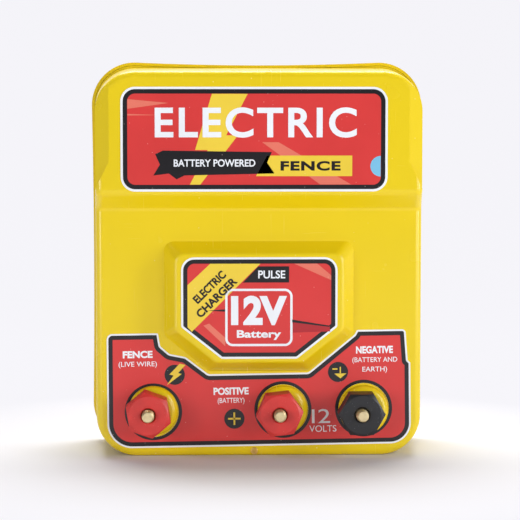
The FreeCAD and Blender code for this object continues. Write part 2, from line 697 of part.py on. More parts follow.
def make_board():
    half = BOARD_W / 2
    body = plate(rectangle(half, BOARD_Z - BOARD_H / 2, BOARD_Z + BOARD_H / 2, 2.0), BOARD_D, BOARD_T)
    body.translate(V(BOARD_X, 0, 0))
    for x, z in board_holes():
        body = body.cut(rod(x, z, BOARD_D - 1, BOARD_FRONT + 1, BOARD_SCREW_R + SCREW_GAP))
    return body


def make_spacers():
    first = BOARD_D - SPACER_L + FACE_GAP
    last = BOARD_D - FACE_GAP
    return group([ring(x, z, first, last, SPACER_R, BOARD_SCREW_R + SCREW_GAP) for x, z in board_holes()])


def make_board_screws():
    bodies = []
    for x, z in board_holes():
        head = rod(x, z, BOARD_FRONT + FACE_GAP, BOARD_FRONT + BOARD_HEAD_T, BOARD_HEAD_R)
        shank = rod(x, z, REAR_WALL + 1, BOARD_FRONT + FACE_GAP, BOARD_SCREW_R)
        slot = block(x - 2.0, x + 2.0, BOARD_FRONT + 1.2, BOARD_FRONT + 3, z - 0.3, z + 0.3)
        bodies.append(head.fuse(shank).cut(slot))
    return group(bodies)


def shell_core(x, z, back, width, height, thick, limb):
    """Laminated or ferrite core: an outer frame of half-width limbs and a middle limb."""
    body = block(x - width / 2, x + width / 2, back, back + thick, z - height / 2, z + height / 2)
    window_w = (width - 2 * limb) / 2
    window_h = height - limb
    for side in (-1, 1):
        middle = x + side * (limb / 2 + window_w / 2)
        window = block(middle - window_w / 2, middle + window_w / 2, back - 1, back + thick + 1,
                       z - window_h / 2, z + window_h / 2)
        body = body.cut(window)
    return body


def sleeve(x, mid_d, z, inner_w, inner_d, thickness, half, corner_r=0):
    """Square tube round a core's middle limb."""
    outer = block(x - inner_w / 2 - thickness, x + inner_w / 2 + thickness,
                  mid_d - inner_d / 2 - thickness, mid_d + inner_d / 2 + thickness, z - half, z + half)
    if corner_r > 0:
        upright = [e for e in outer.Edges if abs(e.BoundBox.ZLength - 2 * half) < 0.01]
        outer = outer.makeFillet(corner_r, upright)
    hole = block(x - inner_w / 2, x + inner_w / 2,
                 mid_d - inner_d / 2, mid_d + inner_d / 2, z - half - 1, z + half + 1)
    return outer.cut(hole)


def make_bobbin():
    width = CORE_LIMB + 2 * COIL_FIT
    deep = CORE_T + 2 * COIL_FIT
    half = (CORE_H - CORE_LIMB) / 2 - COIL_FIT
    body = sleeve(CORE_X, COIL_MID_D, CORE_Z, width, deep, BOBBIN_T, half)
    flange = BOBBIN_T + PRIMARY_T + SECONDARY_T + 2 * COIL_FIT
    for side in (-1, 1):
        z = CORE_Z + side * (half - BOBBIN_T / 2)
        body = body.fuse(sleeve(CORE_X, COIL_MID_D, z, width, deep, flange, BOBBIN_T / 2))
    return body


def make_coil(inside, thickness):
    """A winding; inside is the distance from the core's middle limb."""
    half = (CORE_H - CORE_LIMB) / 2 - BOBBIN_T - 2 * COIL_FIT
    return sleeve(CORE_X, COIL_MID_D, CORE_Z, CORE_LIMB + 2 * inside, CORE_T + 2 * inside,
                  thickness, half, 0.9 * thickness)


def make_brackets():
    """Two feet, one under each yoke of the core, with an upright tab and an ear."""
    feet = []
    yoke = CORE_H / 2
    for x, z, side in bracket_holes():
        near = CORE_Z + side * (yoke - CORE_LIMB / 2 + 1)
        far = z + side * BRACKET_EAR / 2
        low, high = sorted((near, far))
        foot = block(x - BRACKET_HALF, x + BRACKET_HALF, BRACKET_D, BRACKET_D + BRACKET_T, low, high)
        tab_from = CORE_Z + side * (yoke + COIL_FIT)
        tab_to = tab_from + side * BRACKET_T
        low, high = sorted((tab_from, tab_to))
        tab = block(x - BRACKET_HALF, x + BRACKET_HALF, BRACKET_D, CORE_BACK + BRACKET_TAB, low, high)
        hole = rod(x, z, BRACKET_D - 1, CORE_BACK + 1, BRACKET_BOLT_R + SCREW_GAP)
        feet.append(foot.fuse(tab).cut(hole))
    return group(feet)


def make_bracket_bolts():
    bodies = []
    head_d = BRACKET_D + BRACKET_T + FACE_GAP
    for x, z, _ in bracket_holes():
        head = hexagon(x, z, head_d, head_d + BRACKET_HEAD_T, BRACKET_HEAD_AF, 0)
        bodies.append(head.fuse(rod(x, z, REAR_WALL + 1, head_d, BRACKET_BOLT_R)))
    return group(bodies)


def on_board(place):
    return BOARD_X + place[0], BOARD_Z + place[1]


def make_inverter_core():
    x, z = on_board(INVERTER_AT)
    return shell_core(x, z, inverter_back(), INVERTER_W, INVERTER_H, INVERTER_T, INVERTER_LIMB)


def inverter_back():
    return BOARD_FRONT + INVERTER_COIL_T + 3 * COIL_FIT


def make_inverter_coil():
    x, z = on_board(INVERTER_AT)
    mid_d = inverter_back() + INVERTER_T / 2
    half = (INVERTER_H - INVERTER_LIMB) / 2 - COIL_FIT
    return sleeve(x, mid_d, z, INVERTER_LIMB + 2 * COIL_FIT, INVERTER_T + 2 * COIL_FIT,
                  INVERTER_COIL_T, half, 0.8 * INVERTER_COIL_T)


def make_storage_capacitors():
    cans = []
    for x in CAP_XS:
        can = Part.makeCylinder(CAP_R, CAP_L, at(x, CAP_D, CAP_LOW_Z), V(0, 0, 1))
        cans.append(can.makeFillet(CAP_EDGE_R, [e for e in can.Edges if e.Closed]))
    return group(cans)


def make_capacitor_strap():
    """Metal strap across both capacitors, with a leg and a foot at each side."""
    left = CAP_XS[0] - CAP_R - STRAP_GAP
    right = CAP_XS[-1] + CAP_R + STRAP_GAP
    z = CAP_LOW_Z + CAP_L / 2 - STRAP_W / 2
    over = CAP_D + CAP_R + STRAP_GAP
    floor = REAR_WALL + FACE_GAP
    body = block(left - STRAP_T, right + STRAP_T, over, over + STRAP_T, z, z + STRAP_W)
    body = body.fuse(block(left - STRAP_T, left, floor, over + STRAP_T, z, z + STRAP_W))
    body = body.fuse(block(right, right + STRAP_T, floor, over + STRAP_T, z, z + STRAP_W))
    return body.fuse(block(right, right + STRAP_FOOT, floor, floor + STRAP_T, z, z + STRAP_W))


def make_heat_sink():
    sink_x, low = on_board(SINK_AT)
    left = sink_x - SINK_W / 2
    back = BOARD_FRONT + FACE_GAP
    front = back + SINK_D
    body = block(left, left + SINK_W, back, front, low, low + SINK_T)
    pitch = (SINK_W - FIN_T) / (FIN_COUNT - 1)
    for i in range(FIN_COUNT):
        x = left + i * pitch
        body = body.fuse(block(x, x + FIN_T, back, front, low + SINK_T / 2, low + SINK_T + FIN_H))
    return body


def make_power_device(side):
    """Plastic case on a metal tab, flat against the heat sink, on three legs."""
    sink_x, sink_z = on_board(SINK_AT)
    x = sink_x + side * SINK_W / 4
    half = CASE_TO_W / 2
    high = sink_z - FACE_GAP
    foot = BOARD_FRONT + CASE_TO_LEGS
    body = block(x - half, x + half, foot, foot + CASE_TO_H, high - CASE_TO_TAB_T, high)
    body = body.fuse(block(x - half, x + half, foot, foot + CASE_TO_BODY_H, high - CASE_TO_T, high))
    hole_at = at(x, foot + CASE_TO_HOLE_Z, high - CASE_TO_T)
    body = body.cut(Part.makeCylinder(CASE_TO_HOLE_R, 2 * CASE_TO_T, hole_at, V(0, 0, 1)))
    leg_z = high - 0.64 * CASE_TO_T
    for i in (-1, 0, 1):
        leg = rod(x + i * CHIP_PITCH, leg_z, BOARD_FRONT + FACE_GAP, foot + 1, PIN_WIRE_R)
        body = body.fuse(leg)
    return body


def make_fuse():
    x, z = on_board(FUSE_AT)
    low = z - FUSE_L / 2
    tube = Part.makeCylinder(FUSE_R - 0.2, FUSE_L, at(x, FUSE_D, low), V(0, 0, 1))
    for end in (low, low + FUSE_L - FUSE_CAP_L):
        tube = tube.fuse(Part.makeCylinder(FUSE_R, FUSE_CAP_L, at(x, FUSE_D, end), V(0, 0, 1)))
    return tube


def make_fuse_clips():
    clips = []
    x, z = on_board(FUSE_AT)
    half = FUSE_R + CLIP_T
    for side in (-1, 1):
        low = z + side * (FUSE_L - FUSE_CAP_L) / 2 - FUSE_CLIP_L / 2
        body = block(x - half, x + half, BOARD_FRONT + FACE_GAP, FUSE_D + 1.5, low, low + FUSE_CLIP_L)
        start = at(x, FUSE_D, low - FUSE_CLIP_L)
        groove = Part.makeCylinder(FUSE_R + FACE_GAP, 3 * FUSE_CLIP_L, start, V(0, 0, 1))
        clips.append(body.cut(groove))
    return group(clips)


def make_small_capacitors():
    cans = []
    for dx, dz, radius, length in SMALL_CAPS:
        x, z = on_board((dx, dz))
        can = rod(x, z, BOARD_FRONT + FACE_GAP, BOARD_FRONT + length, radius)
        cans.append(can.makeFillet(0.5, [e for e in can.Edges if e.Closed]))
    return group(cans)


def axial_row(row, radius, length):
    """Row of bodies lying across the board, each on two bent legs."""
    dx, dz, count, pitch = row
    x, first_z = on_board((dx, dz))
    bodies = []
    for i in range(count):
        z = first_z + i * pitch
        mid_d = BOARD_FRONT + radius + AXIAL_RISE
        body = Part.makeCylinder(radius, length, at(x - length / 2, mid_d, z), V(1, 0, 0))
        reach = length / 2 + AXIAL_LEG + PIN_WIRE_R
        wire = Part.makeCylinder(PIN_WIRE_R, 2 * reach, at(x - reach, mid_d, z), V(1, 0, 0))
        body = body.fuse(wire)
        for side in (-1, 1):
            leg_x = x + side * (length / 2 + AXIAL_LEG)
            body = body.fuse(rod(leg_x, z, BOARD_FRONT + FACE_GAP, mid_d, 0.8 * PIN_WIRE_R))
        bodies.append(body)
    return group(bodies)


def make_chip():
    chip_x, chip_z = on_board(CHIP_AT)
    back = BOARD_FRONT + CHIP_RISE
    body = block(chip_x - CHIP_W / 2, chip_x + CHIP_W / 2, back, back + CHIP_T,
                 chip_z - CHIP_H / 2, chip_z + CHIP_H / 2)
    for i in range(4):
        z = chip_z + (i - 1.5) * CHIP_PITCH
        for side in (-1, 1):
            x = chip_x + side * (CHIP_W / 2 + 0.5)
            leg = block(x - 0.6, x + 0.6, BOARD_FRONT + FACE_GAP, back + CHIP_T / 2, z - 0.5, z + 0.5)
            body = body.fuse(leg)
    return body


def make_varistor():
    x, z = on_board(VARISTOR_AT)
    mid_d = BOARD_FRONT + VARISTOR_R + 1.5
    body = Part.makeCylinder(VARISTOR_R, VARISTOR_T, at(x, mid_d, z - VARISTOR_T / 2), V(0, 0, 1))
    body = body.makeFillet(VARISTOR_T / 4, [e for e in body.Edges if e.Closed])
    for side in (-1, 1):
        leg_x = x + side * VARISTOR_R / 2
        body = body.fuse(rod(leg_x, z, BOARD_FRONT + FACE_GAP, mid_d - VARISTOR_R / 2, PIN_WIRE_R))
    return body


def lead(name, points):
    """Tube of straight runs joined by tangent arcs; points are (x, depth, z)."""
    spots = [at(*point) for point in points]
    runs = [(b - a).Length for a, b in zip(spots, spots[1:])]
    edges = []
    last = spots[0]
    for i in range(1, len(spots) - 1):
        back = (spots[i - 1] - spots[i]).normalize()
        ahead = (spots[i + 1] - spots[i]).normalize()
        half = back.getAngle(ahead) / 2
        reach = LEAD_REACH * min(runs[i - 1], runs[i])
        radius = reach * math.tan(half)
        middle = (back + ahead).normalize()
        centre = spots[i] + middle * (radius / math.sin(half))
        start = spots[i] + back * reach
        end = spots[i] + ahead * reach
        edges.append(Part.LineSegment(last, start).toShape())
        edges.append(Part.Arc(start, centre - middle * radius, end).toShape())
        last = end
        print(name, "bend radius", round(radius, 2))
    edges.append(Part.LineSegment(last, spots[-1]).toShape())
    path = Part.Wire(edges)
    circle = Part.Wire(Part.Circle(spots[0], spots[1] - spots[0], LEAD_R).toShape())
    tube = path.makePipeShell([circle], True, True)
    ratio = tube.Volume / (math.pi * LEAD_R ** 2 * path.Length)
    print(name, "length", round(path.Length, 1), "volume ratio", round(ratio, 4))
    return tube


def lug_exit(name):
    x, z = STUD_XZ[name]
    return x, LUG_D, z + LUG_TAIL - 3


def make_fence_lead():
    x, depth, z = lug_exit("fence")
    high = CORE_Z - FENCE_LEAD_DROP
    return lead("fence_lead", [(x, depth, z), (x, depth, high), (x, COIL_FRONT + LEAD_END_GAP, high)])


def make_supply_lead(name):
    x, depth, z = lug_exit(name)
    high = BOARD_LOW_Z + SUPPLY_LEAD_RISE[name]
    end = BOARD_FRONT + LEAD_END_GAP
    return lead(name + "_lead", [(x, depth, z), (x, depth, high), (x, end, high)])


def make_primary_leads():
    tubes = []
    start_x = BOARD_LEFT + PRIMARY_LEAD_IN
    end_x = CORE_X + PRIMARY_LEAD_OUT
    loop_d = COIL_FRONT + PRIMARY_LEAD_LOOP
    for dz in PRIMARY_LEAD_DZ:
        z = CORE_Z + dz
        points = [(start_x, BOARD_FRONT + LEAD_END_GAP, z), (start_x, loop_d, z),
                  (end_x, loop_d, z), (end_x, COIL_FRONT + LEAD_END_GAP, z)]
        tubes.append(lead("primary_lead", points))
    return group(tubes)


def make_capacitor_leads():
    tubes = []
    top = CAP_LOW_Z + CAP_L
    depth = CAP_D + CAP_LEAD_FORE
    low = BOARD_LOW_Z + BOARD_H - CAP_LEAD_DROP
    for cap_x, dx, rise, inset in zip(CAP_XS, CAP_LEAD_DX, CAP_LEAD_RISE, CAP_LEAD_IN):
        x = cap_x + dx
        end_x = BOARD_LEFT + inset
        points = [(x, depth, top + LEAD_END_GAP), (x, depth, top + rise), (end_x, depth, top + rise),
                  (end_x, depth, low), (end_x, BOARD_FRONT + LEAD_END_GAP, low)]
        tubes.append(lead("capacitor_lead", points))
    return group(tubes)


def main():
    os.makedirs("parts", exist_ok=True)
    save("front_cover", make_front_cover())
    save("rear_cover", make_rear_cover())
    save("case_gasket", make_gasket())
    save("cover_screws", group([cover_screw(x, z) for x, z in POSTS]))
    save("bottom_screw", make_bottom_screw())
    save("title_label", make_title_label())
    save("rating_label", make_rating_label())
    save("terminal_label", make_terminal_label())
    bore_r = STUD_R + THREAD_GAP
    for name, (x, z) in STUD_XZ.items():
        save(name + "_stud", make_stud(x, z))
        save(name + "_clamp_washer", ring(x, z, WASHER_D, WASHER_D + WASHER_T, WASHER_R, bore_r))
        save(name + "_knob", make_knob(x, z, KNOB_TURN[name]))
    seal_d = LOWER_D - WALL - SEAL_T
    seal_end = LOWER_D - WALL - FACE_GAP
    nut_d = seal_d - NUT_T - FACE_GAP
    spots = list(STUD_XZ.values())
    save("stud_seals", group([ring(x, z, seal_d, seal_end, STUD_R + SEAL_W, bore_r) for x, z in spots]))
    save("stud_lock_nuts", group([make_nut(x, z, nut_d) for x, z in spots]))
    save("ring_lugs", group([make_lug(x, z, LUG_D) for x, z in spots]))
    save("circuit_board", make_board())
    save("board_spacers", make_spacers())
    save("board_screws", make_board_screws())
    save("pulse_transformer_core", shell_core(CORE_X, CORE_Z, CORE_BACK, CORE_W, CORE_H, CORE_T, CORE_LIMB))
    save("transformer_bobbin", make_bobbin())
    save("primary_coil", make_coil(BOBBIN_T + 2 * COIL_FIT, PRIMARY_T))
    save("secondary_coil", make_coil(BOBBIN_T + 3 * COIL_FIT + PRIMARY_T, SECONDARY_T))
    save("transformer_brackets", make_brackets())
    save("bracket_bolts", make_bracket_bolts())
    save("storage_capacitors", make_storage_capacitors())
    save("capacitor_strap", make_capacitor_strap())
    save("inverter_core", make_inverter_core())
    save("inverter_coil", make_inverter_coil())
    save("heat_sink", make_heat_sink())
    save("switching_transistor", make_power_device(-1))
    save("thyristor", make_power_device(1))
    save("fuse", make_fuse())
    save("fuse_clips", make_fuse_clips())
    save("small_capacitors", make_small_capacitors())
    save("resistors", axial_row(RESISTOR_ROW, RESISTOR_R, RESISTOR_L))
    save("diodes", axial_row(DIODE_ROW, DIODE_R, DIODE_L))
    save("timer_chip", make_chip())
    save("output_varistor", make_varistor())
    save("fence_lead", make_fence_lead())
    save("positive_lead", make_supply_lead("positive"))
    save("negative_lead", make_supply_lead("negative"))
    save("primary_leads", make_primary_leads())
    save("capacitor_leads", make_capacitor_leads())


main()
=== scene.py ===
import json
import math

import bmesh
import bpy
from mathutils import Matrix, Vector


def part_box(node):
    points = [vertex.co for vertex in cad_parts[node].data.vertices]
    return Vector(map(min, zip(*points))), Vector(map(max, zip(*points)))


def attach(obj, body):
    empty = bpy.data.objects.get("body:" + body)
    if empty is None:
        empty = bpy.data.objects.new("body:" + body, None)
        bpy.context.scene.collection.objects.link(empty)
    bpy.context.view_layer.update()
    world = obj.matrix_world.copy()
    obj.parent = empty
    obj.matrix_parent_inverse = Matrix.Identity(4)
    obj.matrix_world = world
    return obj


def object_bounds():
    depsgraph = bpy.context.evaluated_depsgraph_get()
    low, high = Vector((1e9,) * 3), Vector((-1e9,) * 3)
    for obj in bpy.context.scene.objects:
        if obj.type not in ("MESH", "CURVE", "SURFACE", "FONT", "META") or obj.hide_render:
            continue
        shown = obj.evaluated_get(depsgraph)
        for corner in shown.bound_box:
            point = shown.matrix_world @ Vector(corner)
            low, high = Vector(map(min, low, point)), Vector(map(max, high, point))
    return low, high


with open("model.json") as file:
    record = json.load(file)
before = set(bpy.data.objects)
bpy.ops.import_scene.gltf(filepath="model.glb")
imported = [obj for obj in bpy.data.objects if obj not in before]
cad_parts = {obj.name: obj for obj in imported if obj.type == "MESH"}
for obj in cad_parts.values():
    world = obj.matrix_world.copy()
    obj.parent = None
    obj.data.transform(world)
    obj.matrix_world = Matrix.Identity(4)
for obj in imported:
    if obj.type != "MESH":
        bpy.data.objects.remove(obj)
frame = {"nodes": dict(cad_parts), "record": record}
cad_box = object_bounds()

MM = 0.001
NODES = frame["nodes"]
SLOT_OF = {part["node"]: part["material_slot"] for part in frame["record"]["subparts"]}
COLOUR_OF = {m["slot"]: m["base_color"][:3] for m in frame["record"]["materials"]}
TERMINALS = ("fence", "positive", "negative")


# ---- shader maths ----
class Value:
    """A socket that Python's operators add Math nodes to."""

    def __init__(self, finish, socket):
        self.finish = finish
        self.socket = socket

    def math(self, operation, *others):
        return self.finish.math(operation, self, *others)

    def __add__(self, other):
        return self.math("ADD", other)

    def __radd__(self, other):
        return self.finish.math("ADD", other, self)

    def __sub__(self, other):
        return self.math("SUBTRACT", other)

    def __rsub__(self, other):
        return self.finish.math("SUBTRACT", other, self)

    def __mul__(self, other):
        return self.math("MULTIPLY", other)

    def __rmul__(self, other):
        return self.finish.math("MULTIPLY", other, self)

    def __truediv__(self, other):
        return self.math("DIVIDE", other)

    def __pow__(self, other):
        return self.math("POWER", other)

    def clamp(self):
        return self.math("MAXIMUM", 0.0).math("MINIMUM", 1.0)

    def step(self, low, high):
        """0 below low, 1 above high and smooth between; low above high turns it round."""
        return ((self - low) / (high - low)).clamp()


class Finish:
    """One material: its nodes, its object coordinates in metres and its surface shader."""

    def __init__(self, name):
        self.material = bpy.data.materials.new(name)
        self.material.use_nodes = True
        self.tree = self.material.node_tree
        self.tree.nodes.clear()
        self.place = self.node("ShaderNodeTexCoord").outputs["Object"]
        self.surface = self.node("ShaderNodeBsdfPrincipled")
        self.node("ShaderNodeOutputMaterial", Surface=self.surface.outputs[0])

    def node(self, kind, settings=(), **inputs):
        """Adds a node: its settings first, then the values or links of its sockets, by name or _number."""
        made = self.tree.nodes.new(kind)
        for key, value in dict(settings).items():
            setattr(made, key, value)
        for key, value in inputs.items():
            socket = made.inputs[int(key[1:])] if key[0] == "_" else made.inputs[key.replace("__", " ")]
            self.join(value, socket)
        return made

    def join(self, value, socket):
        if isinstance(value, Value):
            value = value.socket
        if isinstance(value, bpy.types.NodeSocket):
            self.tree.links.new(value, socket)
        else:
            socket.default_value = value

    def math(self, operation, *values):
        inputs = {"_" + str(i): value for i, value in enumerate(values)}
        return Value(self, self.node("ShaderNodeMath", {"operation": operation}, **inputs).outputs[0])

    def stretched(self, x, y, z):
        """Object coordinates scaled along each axis."""
        made = self.node("ShaderNodeVectorMath", {"operation": "MULTIPLY"}, _0=self.place, _1=(x, y, z))
        return made.outputs[0]

    def noise(self, scale, detail=2.0, rough=0.5, place=None):
        made = self.node("ShaderNodeTexNoise", Vector=place or self.place, Scale=scale, Detail=detail,
                         Roughness=rough)
        return Value(self, made.outputs[0])

    def cells(self, scale):
        return self.node("ShaderNodeTexVoronoi", Vector=self.place, Scale=scale)

    def axis(self, letter):
        made = self.node("ShaderNodeSeparateXYZ", Vector=self.place)
        return Value(self, made.outputs[letter])

    def blend(self, factor, first, second):
        made = self.node("ShaderNodeMix", {"data_type": "RGBA"}, _0=factor, _6=first, _7=second)
        return made.outputs[2]

    def bump(self, height, distance, strength):
        return self.node("ShaderNodeBump", Height=height, Distance=distance, Strength=strength).outputs[0]

    def set(self, **sockets):
        for key, value in sockets.items():
            self.join(value, self.surface.inputs[key.replace("__", " ")])


def rgb(r, g, b):
    """Linear colour from the three numbers, 0 to 255, that a screen shows."""
    linear = [((c / 255 + 0.055) / 1.055) ** 2.4 if c > 10 else c / 255 / 12.92 for c in (r, g, b)]
    return tuple(linear) + (1.0,)


def shade(colour, factor):
    return tuple(min(1.0, c * factor) for c in colour[:3]) + (1.0,)


# ---- finishes ----
def specks(finish, scale, size):
    """Sparse round dust specks: 1 inside a speck."""
    cells = finish.cells(scale)
    near = Value(finish, cells.outputs["Distance"]).step(size, size * 0.4)
    pick = finish.node("ShaderNodeSeparateColor", Color=cells.outputs["Color"]).outputs[0]
    return near * Value(finish, pick).step(0.80, 0.84)


def scratches(finish, across, along):
    """Fine straight marks in two directions: 1 on a mark."""
    first = finish.noise(1.0, 3.0, 0.6, finish.stretched(across, along, along * 1.6))
    second = finish.noise(1.0, 3.0, 0.6, finish.stretched(along * 1.3, across, across * 0.8))
    return (first.step(0.70, 0.76) + second.step(0.71, 0.77)).clamp()


def shell_plastic(name, colour):
    """Glossy moulded shell: orange peel, faint colour drift, soil near the bottom, dust and fine marks."""
    f = Finish(name)
    drift = f.noise(14.0, 3.0)
    dust = specks(f, 260.0, 0.09)
    marks = scratches(f, 900.0, 18.0)
    height = f.axis("Z")
    soil = height.step(0.030, 0.0) * f.noise(60.0, 4.0).step(0.42, 0.70)
    base = f.blend(drift.step(0.3, 0.7), shade(colour, 0.98), shade(colour, 1.02))
    base = f.blend(soil * 0.10, base, rgb(150, 120, 60))
    base = f.blend(dust * 0.35, base, rgb(245, 240, 215))
    peel = f.noise(420.0, 2.0)
    grain = f.noise(2600.0, 2.0)
    bumped = f.bump(peel * 0.5 + grain * 0.12 + dust * 0.8 - marks * 0.3, 0.00002, 0.4)
    rough = 0.24 + 0.05 * f.noise(55.0, 3.0) + 0.25 * marks + 0.3 * dust
    f.set(Base__Color=base, Roughness=rough, Normal=bumped)
    f.set(Coat__Weight=0.2, Coat__Roughness=0.08, IOR=1.46)
    return f.material


def print_ink(name, colour, gloss=0.30):
    """Printed film: screen grain in the ink, tiny dust dots, fine marks in the clear layer."""
    f = Finish(name)
    grain = f.noise(3800.0, 2.0)
    cloud = f.noise(30.0, 3.0)
    dust = specks(f, 420.0, 0.10)
    marks = scratches(f, 1300.0, 22.0)
    base = f.blend(cloud.step(0.3, 0.7), shade(colour, 0.94), shade(colour, 1.04))
    base = f.blend(grain.step(0.35, 0.65) * 0.10, base, shade(colour, 1.25))
    base = f.blend(dust * 0.55, base, rgb(250, 225, 215))
    wave = f.noise(70.0, 2.0)
    bumped = f.bump(wave + grain * 0.04 - marks * 0.05 + dust * 0.3, 0.00005, 0.35)
    f.set(Base__Color=base, Roughness=gloss + 0.10 * cloud + 0.20 * marks, Normal=bumped)
    f.set(Coat__Weight=0.25, Coat__Roughness=0.15)
    return f.material


def knob_plastic(name, colour, mark):
    """Moulded knob: satin grain, pale scuffs in patches, dust."""
    f = Finish(name)
    grain = f.noise(900.0, 4.0, 0.6)
    cloud = f.noise(120.0, 3.0)
    dust = specks(f, 900.0, 0.16)
    scuff = f.noise(1500.0, 5.0, 0.7).step(0.62, 0.72) * cloud.step(0.45, 0.65)
    base = f.blend(cloud.step(0.3, 0.7), shade(colour, 0.88), shade(colour, 1.10))
    base = f.blend(scuff * 0.45, base, mark)
    base = f.blend(dust * 0.6, base, mark)
    bumped = f.bump(grain * 0.5 + scuff * 0.6, 0.00006, 0.5)
    f.set(Base__Color=base, Roughness=0.36 + 0.16 * grain + 0.2 * scuff, Normal=bumped)
    f.set(Coat__Weight=0.12, Coat__Roughness=0.2)
    return f.material


def turned_metal(name, colour, dull, rough=0.24, tarnish=0.5):
    """Turned metal: rings left by the tool, tarnish in patches."""
    f = Finish(name)
    patch = f.noise(380.0, 4.0, 0.6)
    rings = f.noise(1.0, 2.0, 0.5, f.stretched(300.0, 9000.0, 300.0))
    base = f.blend(patch.step(0.40, 0.72) * tarnish, colour, dull)
    bumped = f.bump(rings * 0.5 + patch * 0.4, 0.00003, 0.5)
    f.set(Base__Color=base, Metallic=1.0 - 0.25 * patch.step(0.5, 0.8), Normal=bumped)
    f.set(Roughness=rough + 0.22 * patch)
    return f.material


def plated_steel(name, colour):
    """Zinc plating: small spangle, fine brushing and a few dull spots."""
    f = Finish(name)
    spangle = f.node("ShaderNodeSeparateColor", Color=f.cells(900.0).outputs["Color"]).outputs[0]
    brush = f.noise(1.0, 3.0, 0.6, f.stretched(4000.0, 4000.0, 160.0))
    spots = f.noise(220.0, 4.0).step(0.58, 0.72)
    base = f.blend(Value(f, spangle) * 0.35, colour, shade(colour, 0.75))
    base = f.blend(spots * 0.5, base, rgb(150, 140, 125))
    f.set(Base__Color=base, Metallic=1.0 - 0.3 * spots, Roughness=0.28 + 0.16 * brush + 0.2 * spots)
    f.set(Normal=f.bump(brush, 0.00002, 0.4))
    return f.material


def plain_moulding(name, colour, rough=0.5, scale=700.0, contrast=0.12):
    """Matt moulded or lacquered surface with a fine spark-eroded grain."""
    f = Finish(name)
    grain = f.noise(scale * 3, 3.0, 0.6)
    cloud = f.noise(scale * 0.12, 3.0)
    base = f.blend(cloud.step(0.3, 0.7), shade(colour, 1 - contrast), shade(colour, 1 + contrast))
    f.set(Base__Color=base, Roughness=rough + 0.12 * grain, Normal=f.bump(grain, 0.00004, 0.4))
    return f.material


def board_finish(name, colour):
    """Green solder mask over copper tracks and a glass weave."""
    f = Finish(name)
    tracks = f.node("ShaderNodeTexBrick", {"offset": 0.37, "offset_frequency": 3}, Vector=f.place, Scale=190.0,
                    Mortar__Size=0.05, Brick__Width=1.3, Row__Height=0.36)
    weave = f.noise(2500.0, 2.0)
    line = Value(f, tracks.outputs["Fac"])
    base = f.blend(line * 0.55, colour, rgb(60, 130, 62))
    base = f.blend(weave.step(0.4, 0.6) * 0.15, base, shade(colour, 1.5))
    f.set(Base__Color=base, Roughness=0.30 + 0.15 * weave, Normal=f.bump(line + weave * 0.1, 0.00004, 0.5))
    return f.material


def laminated(name, colour):
    """Stack of steel sheets: dark lines between the laminations, some rust."""
    f = Finish(name)
    sheets = f.axis("Y") * SHEETS_PER_METRE
    gap = (sheets - sheets.math("FLOOR")).step(0.22, 0.05)
    rust = f.noise(260.0, 4.0).step(0.52, 0.75)
    base = f.blend(gap * 0.7, colour, rgb(30, 28, 30))
    base = f.blend(rust * 0.35, base, rgb(120, 70, 45))
    f.set(Base__Color=base, Metallic=0.8 - 0.6 * rust, Roughness=0.42 + 0.2 * rust)
    f.set(Normal=f.bump(1.0 - gap, 0.00008, 0.6))
    return f.material


def winding(name, colour, pitch):
    """Turns of wire or tape side by side, pitch metres apart; the grooves between the turns are darkened with
    painted shade.
    """
    f = Finish(name)
    turns = f.axis("Z") * (2 * math.pi / pitch)
    ridge = turns.math("SINE") * 0.5 + 0.5
    cloud = f.noise(200.0, 3.0)
    # painted shade: the grooves between the turns are darkened to about a third of the wire colour
    base = f.blend(ridge.step(0.0, 0.45), shade(colour, 0.35), shade(colour, 1.05))
    base = f.blend(cloud.step(0.5, 0.8) * 0.3, base, shade(colour, 0.6))
    f.set(Base__Color=base, Metallic=0.55, Roughness=0.30 + 0.15 * cloud)
    f.set(Normal=f.bump(ridge, 0.00012, 0.8))
    return f.material


def banded_body(name, colour, bands, letter, pitch):
    """Lacquered body with colour bands across one axis, repeated every pitch metres."""
    f = Finish(name)
    along = f.axis(letter) * (1.0 / pitch)
    turn = along - along.math("FLOOR")
    base = colour
    for i, band in enumerate(bands):
        middle = (i + 0.5) / len(bands)
        inside = (turn - middle).math("ABSOLUTE").step(0.09, 0.07)
        base = f.blend(inside, base, band)
    grain = f.noise(2400.0, 3.0)
    f.set(Base__Color=base, Roughness=0.34 + 0.1 * grain, Normal=f.bump(grain, 0.00003, 0.4))
    return f.material


def clear_glass(name):
    """Clear glass with a faint haze."""
    f = Finish(name)
    haze = f.noise(500.0, 3.0)
    f.set(Base__Color=f.blend(haze, rgb(225, 232, 230), rgb(200, 208, 206)), Roughness=0.06 + 0.1 * haze)
    f.set(Transmission__Weight=0.7, IOR=1.45)
    return f.material


SHEETS_PER_METRE = 2000.0
WIRE_PITCH = 0.0009
TAPE_PITCH = 0.0030
RESISTOR_PITCH = 0.0066
YELLOW = rgb(233, 204, 18)
RED = rgb(214, 52, 50)
BLACK = rgb(22, 18, 24)
CREAM = rgb(238, 242, 248)
GOLD = rgb(238, 206, 60)
RESISTOR_BANDS = [rgb(120, 60, 25), BLACK, rgb(200, 60, 40)]


